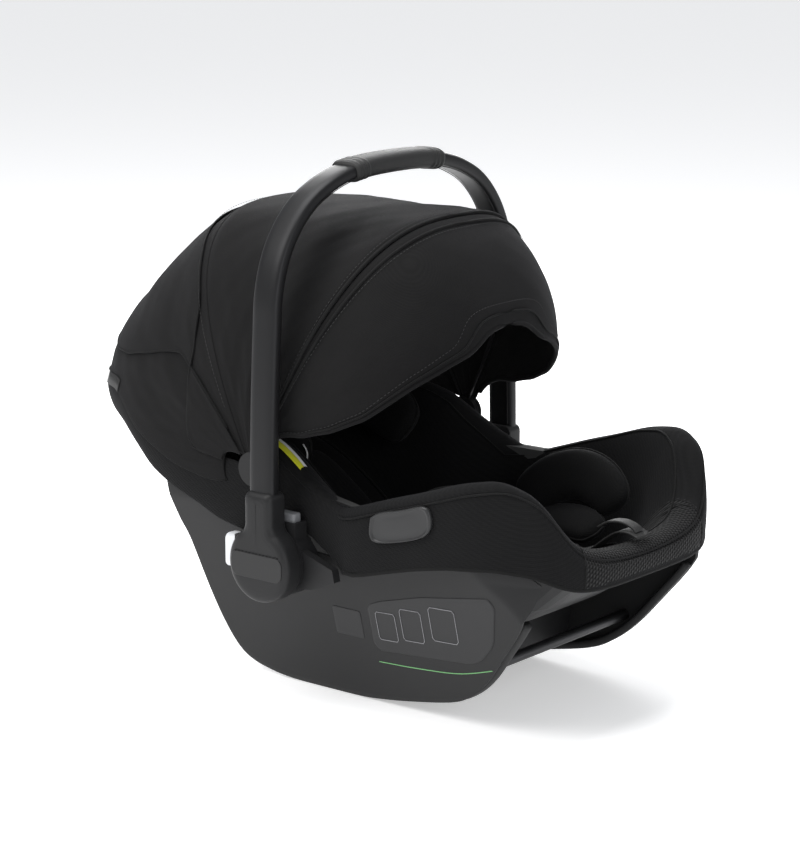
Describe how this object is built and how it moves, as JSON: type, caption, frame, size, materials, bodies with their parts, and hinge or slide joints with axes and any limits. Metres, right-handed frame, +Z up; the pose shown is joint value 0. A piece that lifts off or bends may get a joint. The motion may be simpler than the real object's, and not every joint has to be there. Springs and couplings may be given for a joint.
{
  "type": "infant car seat",
  "caption": "Rear-facing infant carrier seat with a swinging carry handle, folding canopy and visor, rocker base, padded insert and belt guides.",
  "frame": {"origin": "on the floor under the middle of the bounding box, straight under the handle axis", "axes": "+Z up, +Y towards the head end, +X across the seat to its right-hand side seen from the foot end"},
  "size_m": [0.4446, 0.69, 0.573],
  "materials": {
    "shell_plastic": "fine moulded grain, satin black",
    "dark_plastic": "satin black moulding",
    "grey_plastic": "satin mid grey",
    "light_plastic": "satin light grey",
    "red_plastic": "gloss red",
    "foam": "moulded bead foam",
    "handle_metal": "black satin anodised",
    "steel": "plated steel",
    "grip_leather": "black stitched leather look",
    "seat_fabric": "charcoal knit",
    "canopy_fabric": "charcoal woven stretch fabric",
    "webbing": "woven webbing"
  },
  "bodies": {
    "seat": {"rocker_left": "shell_plastic", "rocker_right": "shell_plastic", "cross_member_front": "dark_plastic", "cross_member_rear": "dark_plastic", "front_latch_bar": "steel", "rear_latch_bar": "steel", "seat_tub": "dark_plastic", "foam_liner": "foam", "seat_cover": "seat_fabric", "body_insert": "seat_fabric", "head_insert": "seat_fabric", "head_skirt": "canopy_fabric", "harness_left": "webbing", "harness_right": "webbing", "shoulder_pad_left": "seat_fabric", "shoulder_pad_right": "seat_fabric", "buckle_body": "dark_plastic", "crotch_strap": "webbing", "adjuster_strap": "webbing", "adjuster_body": "dark_plastic", "belt_guide_left": "grey_plastic", "belt_guide_right": "grey_plastic", "housing_left": "dark_plastic", "housing_right": "dark_plastic", "axle_left": "steel", "axle_right": "steel", "release_spring_left": "steel", "release_spring_right": "steel", "canopy_pivot_left": "dark_plastic", "canopy_pivot_right": "dark_plastic", "canopy_rear_panel": "canopy_fabric", "strap_tail": "webbing"},
    "handle": {"handle_tube": "handle_metal", "handle_grip": "grip_leather", "hub_arm_left": "dark_plastic", "hub_arm_right": "dark_plastic", "hub_cap_left": "dark_plastic", "hub_cap_right": "dark_plastic", "socket_screws": "steel"},
    "canopy_mid": {"canopy_mid_bow": "grey_plastic", "canopy_mid_panel": "canopy_fabric"},
    "canopy_front": {"canopy_front_bow": "grey_plastic", "canopy_front_panel": "canopy_fabric"},
    "visor": {"visor_wire": "grey_plastic", "visor_panel": "canopy_fabric"},
    "release_button_left": {"release_button_left": "light_plastic"},
    "release_button_right": {"release_button_right": "light_plastic"},
    "top_tab_left": {"top_tab_left": "grey_plastic"},
    "top_tab_right": {"top_tab_right": "grey_plastic"},
    "buckle_button": {"buckle_button": "red_plastic"},
    "adjuster_button": {"adjuster_button": "grey_plastic"},
    "release_lever": {"release_lever": "dark_plastic"}
  },
  "joints": [
    {"name": "handle_swing", "type": "hinge", "parent": "seat", "child": "handle", "pos_m": [0, 0, 0.158], "axis": [1, 0, 0], "range_deg": [-100, 100]},
    {"name": "canopy_fold", "type": "hinge", "parent": "seat", "child": "canopy_mid", "pos_m": [0, 0.035, 0.25], "axis": [1, 0, 0], "range_deg": [-50, 0]},
    {"name": "canopy_front_fold", "type": "hinge", "parent": "canopy_mid", "child": "canopy_front", "pos_m": [0, 0.035, 0.25], "axis": [1, 0, 0], "range_deg": [-30, 0]},
    {"name": "visor_fold", "type": "hinge", "parent": "canopy_front", "child": "visor", "pos_m": [0, 0.035, 0.25], "axis": [1, 0, 0], "range_deg": [-22, 0]},
    {"name": "release_button_left_press", "type": "slide", "parent": "seat", "child": "release_button_left", "axis": [0, -1, 0], "range_m": [0, 0.005], "stiffness_N_per_m": 800, "deforming": ["release_spring_left"]},
    {"name": "release_button_right_press", "type": "slide", "parent": "seat", "child": "release_button_right", "axis": [0, -1, 0], "range_m": [0, 0.005], "stiffness_N_per_m": 800, "deforming": ["release_spring_right"]},
    {"name": "top_tab_left_press", "type": "slide", "parent": "seat", "child": "top_tab_left", "axis": [0, 0, -1], "range_m": [0, 0.003], "stiffness_N_per_m": 800},
    {"name": "top_tab_right_press", "type": "slide", "parent": "seat", "child": "top_tab_right", "axis": [0, 0, -1], "range_m": [0, 0.003], "stiffness_N_per_m": 800},
    {"name": "buckle_button_press", "type": "slide", "parent": "seat", "child": "buckle_button", "axis": [0, 0, -1], "range_m": [0, 0.003], "stiffness_N_per_m": 800},
    {"name": "adjuster_button_press", "type": "slide", "parent": "seat", "child": "adjuster_button", "axis": [0, -0.2419, -0.9703], "range_m": [0, 0.002], "stiffness_N_per_m": 800},
    {"name": "release_lever_pull", "type": "slide", "parent": "seat", "child": "release_lever", "axis": [0, 0.8572, 0.515], "range_m": [0, 0.006], "stiffness_N_per_m": 800}
  ],
  "couplings": [
    {"joint": "canopy_front_fold", "follows": "canopy_fold", "ratio": 0.6}
  ]
}
